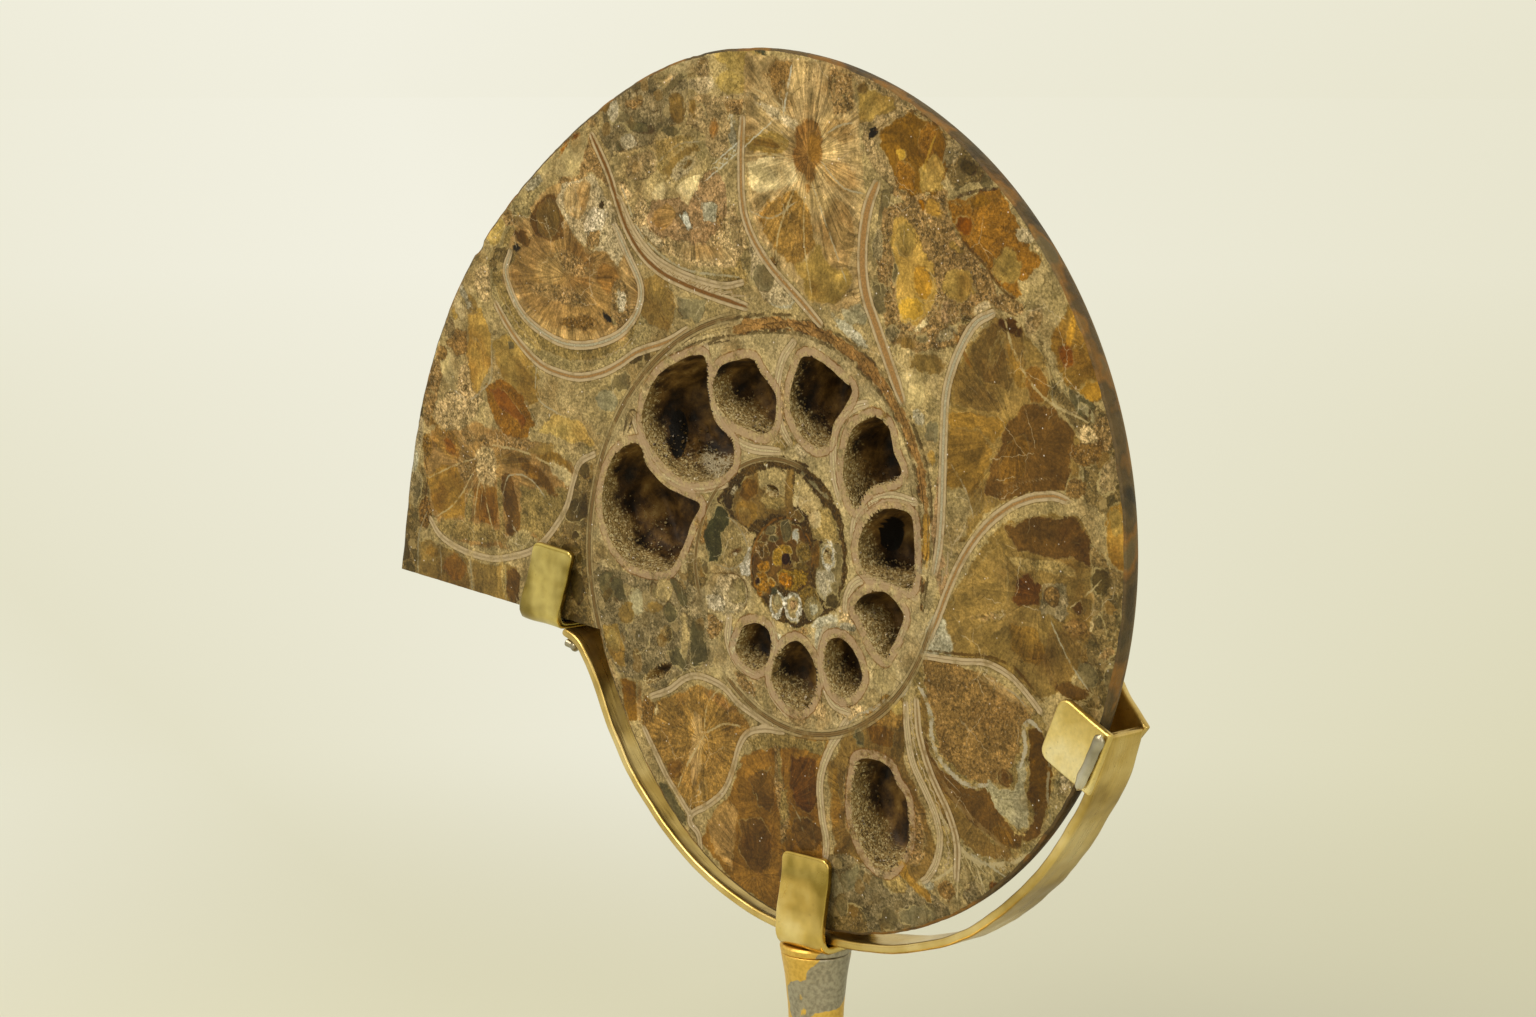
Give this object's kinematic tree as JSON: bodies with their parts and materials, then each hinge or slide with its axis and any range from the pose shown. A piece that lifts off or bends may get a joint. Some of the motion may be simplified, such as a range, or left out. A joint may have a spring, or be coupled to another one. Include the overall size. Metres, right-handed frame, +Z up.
{
  "type": "ammonite fossil half on a stand",
  "caption": "Half of an ammonite, sawn and polished to show its chambers, held upright by a bent brass cradle on a round stem and foot.",
  "frame": {"origin": "centre of the foot's flat underside, where the stand rests", "axes": "+Z up along the stem, the sawn face looks along -Y, and the shell's mouth is at -X"},
  "size_m": [0.1827, 0.108, 0.2239],
  "materials": {
    "fossil": "polished calcite, shell and matrix on the sawn face, worn shell on the back",
    "band_brass": "hand polished strip, lightly tarnished",
    "gilt": "bright gilt brass with rubbed patches",
    "solder": "dull tin-lead solder with bright drops",
    "foot_brass": "turned and satin polished"
  },
  "bodies": {
    "root": {"ammonite_half": "fossil", "cradle_band": "band_brass", "left_clip": "band_brass", "middle_clip": "gilt", "right_front_prong": "gilt", "right_back_prong": "band_brass", "left_solder": "solder", "right_solder": "solder", "stem_solder": "solder", "stem": "gilt", "foot": "foot_brass"}
  },
  "joints": []
}
